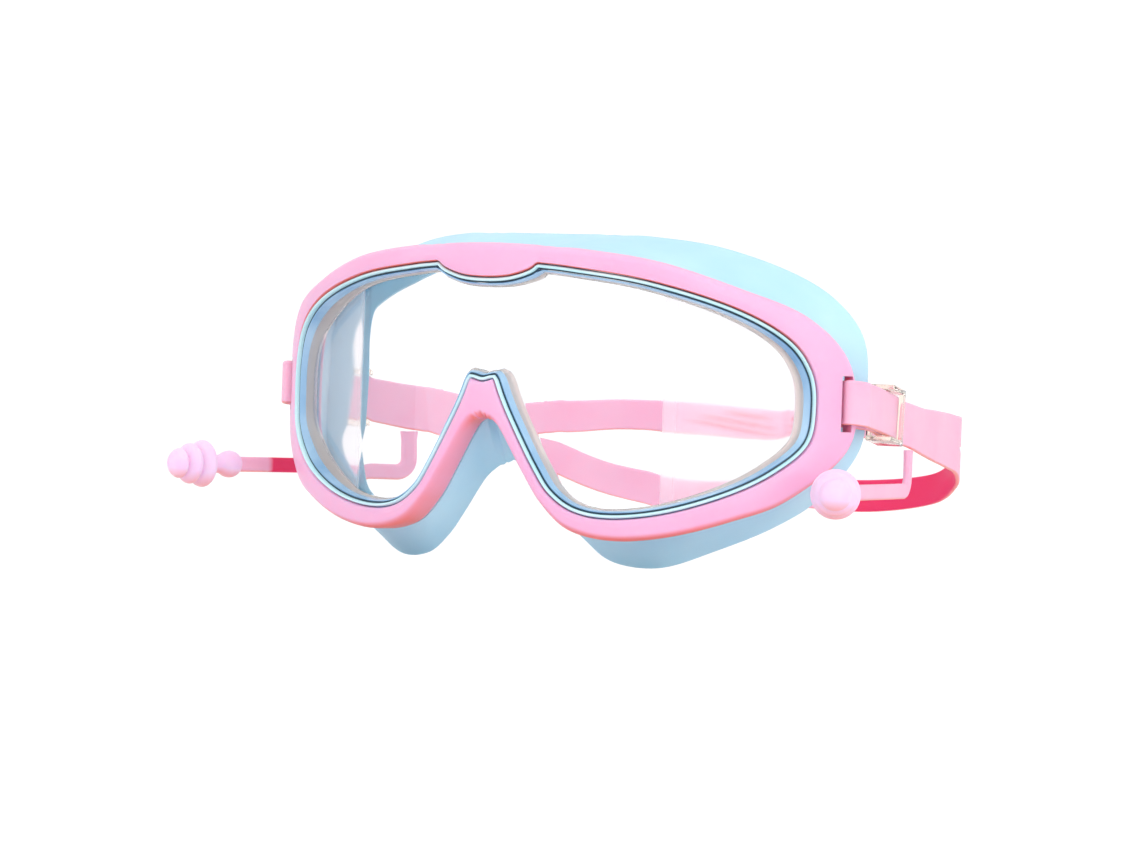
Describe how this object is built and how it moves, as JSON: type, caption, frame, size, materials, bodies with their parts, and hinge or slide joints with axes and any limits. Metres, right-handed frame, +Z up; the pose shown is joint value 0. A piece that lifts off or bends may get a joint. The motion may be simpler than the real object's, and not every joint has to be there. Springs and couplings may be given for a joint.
{
  "type": "swim goggles",
  "caption": "Child's wide-view swim goggles: wrapped clear lens in a soft-edged frame, face skirt, split silicone strap with clear buckles, and ear plugs on moulded arms.",
  "frame": {"origin": "middle of the face seal at the brow, level with the middle of the window", "axes": "+X towards the wearer's left, +Y towards the face, +Z up"},
  "size_m": [0.1872, 0.1625, 0.0789],
  "materials": {
    "frame_pink": "smooth satin moulding",
    "skirt_blue": "matte moulded silicone",
    "lens_clear": "polished clear polycarbonate",
    "strap_pink": "soft moulded silicone",
    "buckle_clear": "clear moulded plastic",
    "plug_pink": "soft moulded silicone"
  },
  "bodies": {
    "mask": {"frame": "frame_pink", "lens_gasket": "skirt_blue", "lens": "lens_clear", "face_skirt": "skirt_blue"},
    "strap": {"head_strap": "strap_pink"},
    "buckle_px": {"buckle_px": "buckle_clear"},
    "buckle_nx": {"buckle_nx": "buckle_clear"},
    "ear_px": {"ear_arm_px": "strap_pink", "ear_plug_px": "plug_pink"},
    "ear_nx": {"ear_arm_nx": "strap_pink", "ear_plug_nx": "plug_pink"}
  },
  "joints": [
    {"name": "strap_tilt", "type": "hinge", "parent": "mask", "child": "strap", "pos_m": [0, 0.00888, 0.0015], "axis": [1, 0, 0], "range_deg": [-6, 6]},
    {"name": "buckle_px_slide", "type": "slide", "parent": "strap", "child": "buckle_px", "axis": [-0.1896, 0.9752, -0.1142], "range_m": [-0.001, 0.002]},
    {"name": "buckle_nx_slide", "type": "slide", "parent": "strap", "child": "buckle_nx", "axis": [0.1896, 0.9752, -0.1142], "range_m": [-0.001, 0.002]},
    {"name": "ear_px_swing", "type": "hinge", "parent": "strap", "child": "ear_px", "pos_m": [0.07083, 0.05249, -0.0087], "axis": [0, 0, 1], "range_deg": [-2, 50]},
    {"name": "ear_nx_swing", "type": "hinge", "parent": "strap", "child": "ear_nx", "pos_m": [-0.07083, 0.05249, -0.0087], "axis": [0, 0, -1], "range_deg": [-15, 37]}
  ]
}
